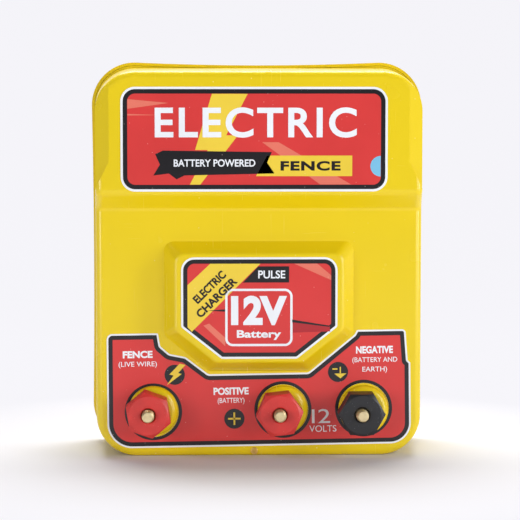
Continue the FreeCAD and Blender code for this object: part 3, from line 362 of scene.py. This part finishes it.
def finish_for(slot):
    """The finish of each material slot in the record."""
    colour = tuple(COLOUR_OF[slot]) + (1.0,)
    makers = {
        "cover": lambda: shell_plastic(slot, YELLOW),
        "rear": lambda: shell_plastic(slot, shade(YELLOW, 0.97)),
        "label": lambda: print_ink(slot, CREAM),
        "brass": lambda: turned_metal(slot, rgb(240, 222, 176), rgb(176, 146, 92), 0.30, 0.35),
        "washer": lambda: turned_metal(slot, rgb(224, 208, 170), rgb(140, 120, 85), 0.30),
        "red_knob": lambda: knob_plastic(slot, rgb(208, 50, 46), rgb(235, 150, 135)),
        "black_knob": lambda: knob_plastic(slot, rgb(26, 27, 32), rgb(150, 152, 158)),
        "steel": lambda: plated_steel(slot, colour),
        "rusty_steel": lambda: turned_metal(slot, rgb(244, 210, 120), rgb(180, 120, 56), 0.30, 0.5),
        "lug": lambda: plated_steel(slot, colour),
        "sink": lambda: plated_steel(slot, colour),
        "board": lambda: board_finish(slot, colour),
        "core": lambda: laminated(slot, colour),
        "copper": lambda: winding(slot, colour, WIRE_PITCH),
        "coil_tape": lambda: winding(slot, colour, TAPE_PITCH),
        "resistor": lambda: banded_body(slot, colour, RESISTOR_BANDS, "X", RESISTOR_PITCH),
        "glass": lambda: clear_glass(slot),
        "seal": lambda: plain_moulding(slot, colour, 0.75),
        "ferrite": lambda: plain_moulding(slot, colour, 0.62, 1100.0, 0.25),
    }
    make = makers.get(slot, lambda: plain_moulding(slot, colour))
    return make()


def dress_nodes():
    made = {}
    for name, node in NODES.items():
        slot = SLOT_OF[name]
        if slot not in made:
            made[slot] = finish_for(slot)
        node.data.materials.clear()
        node.data.materials.append(made[slot])


SHARP_EDGE = math.radians(28)


def soften(node, width, segments):
    """Small round, width mm across, on a CAD node's sharp edges, as moulded or turned parts have."""
    bevel = NODES[node].modifiers.new("soft_edges", "BEVEL")
    bevel.width = width * MM
    bevel.segments = segments
    bevel.limit_method = "ANGLE"
    bevel.angle_limit = SHARP_EDGE


dress_nodes()
for terminal in TERMINALS:
    soften(terminal + "_knob", 0.55, 3)
    soften(terminal + "_clamp_washer", 0.2, 2)
soften("rear_cover", 0.3, 2)


# ---- printed labels ----
# Sizes are in mm. Places on a label are measured from its middle.
LAYER = 0.03                    # rise of one layer of ink over the one below
INK_HALF = 0.01                 # half the thickness of a layer
FONT_SIZE = 10.0                # lettering is drawn at this size and then stretched
CURVE_STEP = math.radians(6)    # angle between the points of a rounded corner
LEAST_R = 0.15                  # smallest radius left where a corner is moved inwards
TERM_PIVOT = (2.2, 24.4)        # what the terminal label is turned about
TERM_TILT = 0.8                 # how far it is turned, in degrees
HOLE_R = 13.32                  # holes of the terminal label
HOLE_RING = 1.7                 # black ring round a hole
SIGN_R = 5.3                    # black discs behind the signs
WINDOW_LINE = 1.2               # line round the rating label's window


def rounded(corners, inset=0.0):
    """Points of an outline through corners (x, z, radius) in mm, moved inwards by inset."""
    count = len(corners)
    spots = []
    for i, (x, z, radius) in enumerate(corners):
        here = Vector((x, z))
        first = (here - Vector(corners[i - 1][:2])).normalized()
        second = (Vector(corners[(i + 1) % count][:2]) - here).normalized()
        sides = Vector((-first.y - second.y, first.x + second.x))
        here += sides * inset / (1 + first.dot(second))
        convex = first.x * second.y > first.y * second.x
        spots.append((here, max(radius - inset, LEAST_R) if convex else radius + inset))
    points = []
    for i, (here, radius) in enumerate(spots):
        back = spots[i - 1][0] - here
        ahead = spots[(i + 1) % count][0] - here
        half = back.angle(ahead) / 2
        reach = min(radius / math.tan(half), 0.49 * back.length, 0.49 * ahead.length)
        start = here + back.normalized() * reach
        end = here + ahead.normalized() * reach
        middle = (back.normalized() + ahead.normalized()).normalized()
        centre = here + middle * (reach / math.cos(half))
        from_angle = math.atan2(*(start - centre).yx)
        sweep = (math.atan2(*(end - centre).yx) - from_angle + math.pi) % (2 * math.pi) - math.pi
        steps = max(2, int(abs(sweep) / CURVE_STEP))
        size = reach * math.tan(half)
        for k in range(steps + 1):
            angle = from_angle + sweep * k / steps
            points.append((centre.x + size * math.cos(angle), centre.y + size * math.sin(angle)))
    return points


def circle(x, z, radius, steps=64, first=0.0, sweep=360.0):
    ends = steps if sweep == 360.0 else steps + 1
    angles = [math.radians(first + sweep * i / steps) for i in range(ends)]
    return [(x + radius * math.cos(a), z + radius * math.sin(a)) for a in angles]


def bar(x, z, width, height):
    return [(x - width / 2, z - height / 2), (x + width / 2, z - height / 2),
            (x + width / 2, z + height / 2), (x - width / 2, z + height / 2)]


def rectangle(half, low, high, radius):
    return [(-half, low, radius), (half, low, radius), (half, high, radius), (-half, high, radius)]


def flat_mesh(curve):
    """Mesh of a filled flat curve or of lettering, in mm; the curve is removed."""
    holder = bpy.data.objects.new("draft", curve)
    mesh = bpy.data.meshes.new_from_object(holder)
    bpy.data.objects.remove(holder)
    bpy.data.curves.remove(curve)
    return mesh


def filled(loops):
    """Flat mesh inside the loops; a loop inside another is a hole."""
    curve = bpy.data.curves.new("draft", "CURVE")
    curve.dimensions = "2D"
    curve.fill_mode = "BOTH"
    curve.extrude = INK_HALF
    for loop in loops:
        spline = curve.splines.new("POLY")
        spline.points.add(len(loop) - 1)
        for point, (x, z) in zip(spline.points, loop):
            point.co = (x, z, 0.0, 1.0)
        spline.use_cyclic_u = True
    return flat_mesh(curve)


def words(text, x, z, width, height, bold=0.0, turn=0.0, space=1.0):
    """Plain lettering centred on (x, z), stretched to a width and a height, turned by degrees."""
    curve = bpy.data.curves.new("draft", "FONT")
    curve.body = text
    curve.size = FONT_SIZE
    curve.offset = bold
    curve.space_character = space
    curve.extrude = INK_HALF
    curve.resolution_u = 6
    mesh = flat_mesh(curve)
    xs = [v.co.x for v in mesh.vertices]
    ys = [v.co.y for v in mesh.vertices]
    grow = Matrix.Diagonal((width / (max(xs) - min(xs)), height / (max(ys) - min(ys)), 1.0, 1.0))
    centre = Matrix.Translation((-(max(xs) + min(xs)) / 2, -(max(ys) + min(ys)) / 2, 0.0))
    turned = Matrix.Rotation(math.radians(turn), 4, "Z")
    mesh.transform(Matrix.Translation((x, z, 0.0)) @ turned @ grow @ centre)
    return mesh


class Label:
    """Print on one label node: layers of ink, drawn in mm from the node's centre, one piece per ink."""

    def __init__(self, node, tilt=0.0):
        low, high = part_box(node)
        self.node = node
        self.tilt = math.radians(tilt)
        self.x = (low[0] + high[0]) / 2
        self.z = (low[2] + high[2]) / 2
        self.front = low[1]

    def level(self, x, z):
        """Drawing coordinates of a place on the face, given from the case's middle and bottom."""
        cos, sin = math.cos(self.tilt), math.sin(self.tilt)
        dx, dz = x - self.x / MM, z - self.z / MM
        return dx * cos + dz * sin, dz * cos - dx * sin

    def tilted(self, x, z):
        """The same for a place that is given before the label is turned about its pivot."""
        cos, sin = math.cos(self.tilt), math.sin(self.tilt)
        dx, dz = x - TERM_PIVOT[0], z - TERM_PIVOT[1]
        return self.level(TERM_PIVOT[0] + dx * cos - dz * sin, TERM_PIVOT[1] + dx * sin + dz * cos)

    def ink(self, name, material, level, meshes):
        joined = bmesh.new()
        for mesh in meshes:
            joined.from_mesh(mesh)
            bpy.data.meshes.remove(mesh)
        cos, sin = math.cos(self.tilt), math.sin(self.tilt)
        for vertex in joined.verts:
            x, z, rise = vertex.co
            vertex.co = (self.x + (x * cos - z * sin) * MM, self.front - (level * LAYER + rise) * MM,
                         self.z + (x * sin + z * cos) * MM)
        bmesh.ops.reverse_faces(joined, faces=joined.faces)
        mesh = bpy.data.meshes.new(self.node + "_" + name)
        joined.to_mesh(mesh)
        joined.free()
        mesh.materials.append(material)
        piece = bpy.data.objects.new(mesh.name, mesh)
        bpy.context.collection.objects.link(piece)
        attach(piece, "case")


INKS = {
    "black": print_ink("ink_black", rgb(14, 10, 17), 0.26),
    "red": print_ink("ink_red", RED),
    "dark_red": print_ink("ink_dark_red", rgb(176, 28, 38)),
    "salmon": print_ink("ink_salmon", rgb(226, 116, 96)),
    "gold": print_ink("ink_gold", GOLD),
    "white": print_ink("ink_white", CREAM),
    "blue": print_ink("ink_blue", rgb(120, 190, 225)),
}


def print_border(label, corners, white, black, holes=()):
    """Black edge and red field inside a label's white edge; holes are (x, z, radius, ring)."""
    cuts = [circle(x, z, radius) for x, z, radius, _ in holes]
    rings = [circle(x, z, radius + ring) for x, z, radius, ring in holes]
    label.ink("black", INKS["black"], 1, [filled([rounded(corners, white)] + cuts)])
    label.ink("red", INKS["red"], 2, [filled([rounded(corners, white + black)] + rings)])


def bolt(x, z, size, turn=0.0):
    """Lightning bolt of a given height, centred on (x, z)."""
    shape = [(0.10, 0.5), (0.34, 0.5), (0.12, 0.10), (0.28, 0.10), (-0.22, -0.5), (-0.04, -0.04),
             (-0.22, -0.04)]
    c, s = math.cos(math.radians(turn)), math.sin(math.radians(turn))
    return [(x + size * (a * c - b * s), z + size * (a * s + b * c)) for a, b in shape]


def print_title():
    label = Label("title_label")
    low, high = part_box("title_label")
    half = (high[0] - low[0]) / 2 / MM
    tall = (high[2] - low[2]) / 2 / MM
    corner, white, black = 7.5, 1.2, 2.3
    print_border(label, rectangle(half, -tall, tall, corner), white, black)
    edge = half - 3.6
    top = tall - 3.6
    flash = [(-21.8, top), (-3.4, top), (-14.5, 2.0), (-8.5, 2.0), (-27.8, -top), (-33.2, -top), (-24.0, -5.5),
             (-30.5, -5.5)]
    streaks = [[(-edge, 20.6), (-44.0, 18.6), (-edge, 15.6)],
               [(-edge, 13.0), (-48.0, 12.4), (-edge, 12.2)],
               [(4.0, -1.5), (12.5, -1.5), (50.0, -top), (34.0, -top)]]
    ribbon = [(-51.0, -7.6), (-47.0, -5.8), (9.0, -6.6), (6.6, -12.0), (10.4, -17.6), (-36.0, -18.6),
              (-40.0, -20.6), (-44.0, -17.6), (-52.0, -18.6), (-48.6, -13.0)]
    box = [(0.8, -19.0), (50.5, -19.0), (50.5, -8.4), (6.6, -8.4)]
    label.ink("flash", INKS["gold"], 3, [filled([flash])])
    label.ink("streaks", INKS["salmon"], 3, [filled([streak]) for streak in streaks])
    label.ink("ribbon", INKS["black"], 4, [filled([ribbon])])
    label.ink("ribbon_text", INKS["white"], 5, [words("BATTERY POWERED", -20.5, -12.2, 42.0, 3.8, 0.2)])
    label.ink("box", INKS["gold"], 4, [filled([box])])
    label.ink("box_text", INKS["black"], 5, [words("FENCE", 29.0, -13.7, 31.0, 5.0, 0.42, space=1.12)])
    label.ink("disc", INKS["blue"], 3, [filled([circle(edge, -13.9, 5.3, 48, 90.0, 180.0)])])
    label.ink("letters", INKS["white"], 5, [words("ELECTRIC", 0.8, 8.6, 104.0, 15.6, 0.22, space=1.14)])


def print_rating():
    label = Label("rating_label")
    low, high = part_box("rating_label")
    half = (high[0] - low[0]) / 2 / MM
    tall = (high[2] - low[2]) / 2 / MM
    cut_x, cut_z, cut_r, corner, white, black = 20.9, 16.6, 2.0, 6.9, 1.1, 2.2
    corners = [(-half + cut_x, -tall, cut_r), (half - cut_x, -tall, cut_r), (half, -tall + cut_z, cut_r),
               (half, tall, corner), (-half, tall, corner), (-half, -tall + cut_z, cut_r)]
    print_border(label, corners, white, black)
    edge = half - 3.3
    top = tall - 3.3
    band_turn = 44.5
    band = [(-25.4, top), (0.5, top), (-35.0, -12.2), (-edge, -9.8), (-edge, 12.0)]
    streaks = [[(18.0, top), (30.0, top), (edge, 17.0), (edge, 14.5)],
               [(-29.0, -9.0), (-17.7, -19.8), (-17.7, -15.4), (-26.0, -8.0)]]
    shaded = [(17.0, -6.8), (36.4, -9.6), (36.8, -12.2), (17.0, -12.8)]
    tags = [[(-8.6, 13.3), (15.4, 13.3), (15.4, 21.7), (-0.6, 21.7)],
            [(17.0, -6.0), (36.4, -9.2), (36.0, -9.8), (17.0, -7.4)],
            [(-27.0, -1.2), (-17.7, -0.6), (-17.7, -1.8)]]
    window = [(-17.7, -19.8, 4.0), (17.2, -19.8, 4.0), (17.2, 10.1, 4.0), (-17.7, 10.1, 4.0)]
    label.ink("band", INKS["gold"], 3, [filled([band])])
    label.ink("band_text", INKS["black"], 4, [words("ELECTRIC", -25.8, 11.0, 21.0, 4.4, 0.4, band_turn),
                                              words("CHARGER", -22.2, 5.6, 27.0, 4.4, 0.4, band_turn)])
    label.ink("streaks", INKS["salmon"], 3, [filled([streak]) for streak in streaks])
    label.ink("shade", INKS["dark_red"], 3, [filled([shaded])])
    label.ink("tag", INKS["black"], 4, [filled([tag]) for tag in tags])
    label.ink("tag_text", INKS["white"], 5, [words("PULSE", 6.4, 17.5, 14.0, 4.2, 0.2)])
    label.ink("window", INKS["white"], 4, [filled([rounded(window), rounded(window, WINDOW_LINE)]),
                                           words("12V", -0.2, -1.2, 29.0, 15.4, 0.5),
                                           words("Battery", -0.2, -14.0, 23.0, 5.2, 0.3)])


def print_terminals():
    label = Label("terminal_label", TERM_TILT)
    white, black = 0.9, 2.2
    holes = []
    for name in TERMINALS:
        low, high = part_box(name + "_stud")
        centre_x = (low[0] + high[0]) / 2 / MM
        centre_z = (low[2] + high[2]) / 2 / MM
        holes.append(label.tilted(centre_x + TERM_PIVOT[0], centre_z) + (HOLE_R, HOLE_RING))
    print_border(label, terminal_corners(label), white, black, holes)
    disc_x, disc_z = label.level(-44.1, 43.1)
    plus_x, plus_z = label.level(-12.9, 19.8)
    earth_x, earth_z = label.level(41.5, 44.3)
    discs = [circle(x, z, SIGN_R) for x, z in ((disc_x, disc_z), (plus_x, plus_z), (earth_x, earth_z))]
    label.ink("discs", INKS["black"], 3, [filled([disc]) for disc in discs])
    marks = [bolt(disc_x, disc_z, 12.6, -14.0), bar(plus_x, plus_z, 6.6, 0.9), bar(plus_x, plus_z, 0.9, 6.6),
             bar(earth_x - 1.6, earth_z + 1.6, 2.6, 0.7), bar(earth_x + 1.2, earth_z + 1.0, 0.6, 3.4),
             [(earth_x - 2.0, earth_z - 0.8), (earth_x + 1.2, earth_z - 3.4), (earth_x + 4.4, earth_z - 0.8)]]
    label.ink("marks", INKS["gold"], 4, [filled([loop]) for loop in marks])
    lines = [("FENCE", -63.4, 53.8, 15.6, 3.8, 0.42), ("(LIVE WIRE)", -63.4, 48.4, 20.0, 3.4, 0.05),
             ("POSITIVE", -14.6, 34.4, 18.4, 3.9, 0.38), ("(BATTERY)", -14.6, 29.1, 14.0, 3.5, 0.05),
             ("VOLTS", 33.6, 14.4, 14.2, 3.4, 0.0),
             ("NEGATIVE", 60.6, 56.0, 19.4, 3.9, 0.38), ("(BATTERY AND", 60.8, 50.4, 23.6, 3.4, 0.05),
             ("EARTH)", 60.8, 45.4, 13.0, 3.4, 0.05)]
    meshes = [words(text, *label.level(x, z), width, height, bold)
              for text, x, z, width, height, bold in lines]
    meshes.append(words("12", *label.level(32.6, 21.0), 9.6, 7.4, space=0.8))
    label.ink("text", INKS["white"], 3, meshes)


def terminal_corners(label):
    """The terminal label's outline, which passes round the boss's foot, from the label's centre."""
    boss_half, boss_low, cut_x, cut_z, gap = 49.5, 44.8, 23.3, 19.0, 1.1
    side = boss_half + gap
    inner = boss_half - cut_x
    foot = boss_low - gap
    knee = boss_low + cut_z - gap / 2
    scoop_x = 38.0
    scoop_z = foot + (scoop_x - inner) * (knee - foot) / (side - inner) - 0.2
    left, right, high = 79.6, 79.8, 65.7
    shape = [(-left, 5.4, 13.0), (right, 5.4, 11.0), (right, 48.0, 0.8), (right - 1.4, 49.4, 0.8),
             (right - 2.4, high, 2.0), (side + 1.4, high, 0.8), (side, knee, 2.0), (inner, foot, 3.0),
             (-inner, foot, 3.0), (-scoop_x, scoop_z, 4.0), (-46.5, scoop_z + 1.8, 3.0),
             (-side - 0.6, scoop_z + 6.0, 2.0), (-side - 1.6, high, 0.8), (-left + 0.6, high, 3.0)]
    return [label.tilted(x, z) + (radius,) for x, z, radius in shape]


print_title()
print_rating()
print_terminals()


# ---- light, floor and camera ----
def area_light(name, place, aim, width, height, power):
    lamp = bpy.data.lights.new(name, "AREA")
    lamp.shape = "RECTANGLE"
    lamp.size = width
    lamp.size_y = height
    lamp.energy = power
    holder = bpy.data.objects.new(name, lamp)
    holder.location = place
    holder.rotation_euler = (Vector(aim) - Vector(place)).to_track_quat("-Z", "Y").to_euler()
    bpy.context.collection.objects.link(holder)


def make_floor():
    """Pale floor that curves up into a backdrop and glows evenly a short way from the object."""
    half = 3.0
    back = 1.6
    front = -4.0
    high = 3.5
    radius = 0.8
    steps = 16
    glow_from, glow_full = 0.095, 0.23
    mesh = bpy.data.meshes.new("floor")
    profile = [(front, 0.0), (back - radius, 0.0)]
    for i in range(1, steps + 1):
        angle = math.pi / 2 * i / steps
        profile.append((back - radius + radius * math.sin(angle), radius - radius * math.cos(angle)))
    profile.append((back, high))
    points = [(side * half, y, z) for y, z in profile for side in (-1, 1)]
    faces = [(2 * i, 2 * i + 1, 2 * i + 3, 2 * i + 2) for i in range(len(profile) - 1)]
    mesh.from_pydata(points, [], faces)
    mesh.shade_smooth()
    floor = bpy.data.objects.new("floor", mesh)
    bpy.context.collection.objects.link(floor)
    f = Finish("floor_paper")
    away = (f.axis("X").math("ABSOLUTE") ** 2.0 + f.axis("Y").math("ABSOLUTE") ** 2.0) ** 0.5
    glow = away.step(glow_from, glow_full) * f.axis("Y").step(-1.10, -0.80)
    near = rgb(226, 225, 228)
    f.set(Base__Color=f.blend(glow, near, rgb(40, 40, 40)), Roughness=0.9)
    f.set(Emission__Color=f.blend(glow, rgb(0, 0, 0), rgb(243, 242, 247)))
    f.set(Emission__Strength=1.0, Specular__IOR__Level=0.0)
    mesh.materials.append(f.material)


def make_camera():
    """Long lens from the front, high up and a little to the left of the middle."""
    low, high = cad_box
    face_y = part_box("terminal_label")[0][1]
    left, away, height = 26.5 * MM, 1.0, 176.0 * MM
    down = math.radians(4.16)
    right = math.radians(1.55)
    camera = bpy.data.cameras.new("camera")
    camera.lens = 133.1
    camera.sensor_width = 36.0
    camera.clip_end = 20.0
    holder = bpy.data.objects.new("camera", camera)
    holder.location = ((low[0] + high[0]) / 2 - left, face_y - away, low[2] + height)
    turn = Matrix.Rotation(-right, 4, "Z") @ Matrix.Rotation(math.pi / 2 - down, 4, "X")
    holder.rotation_euler = turn.to_euler()
    bpy.context.collection.objects.link(holder)
    bpy.context.scene.camera = holder


def make_light():
    world = bpy.data.worlds.new("studio")
    world.use_nodes = True
    sky = world.node_tree.nodes["Background"]
    sky.inputs["Color"].default_value = (0.93, 0.95, 1.0, 1.0)
    sky.inputs["Strength"].default_value = 0.16
    bpy.context.scene.world = world
    area_light("top_softbox", (0.0, 0.34, 1.1), (0.0, -0.05, 0.0), 0.9, 0.5, 14.5)
    area_light("right_strip", (0.85, -0.40, 0.30), (0.0, 0.0, 0.12), 0.18, 0.9, 5.0)
    area_light("left_fill", (-0.95, -1.25, 0.24), (0.0, 0.0, 0.1), 0.6, 0.5, 8.0)
    area_light("right_fill", (0.95, -1.25, 0.24), (0.0, 0.0, 0.1), 0.6, 0.5, 5.2)
    bpy.context.scene.view_settings.view_transform = "Standard"


make_floor()
make_camera()
make_light()
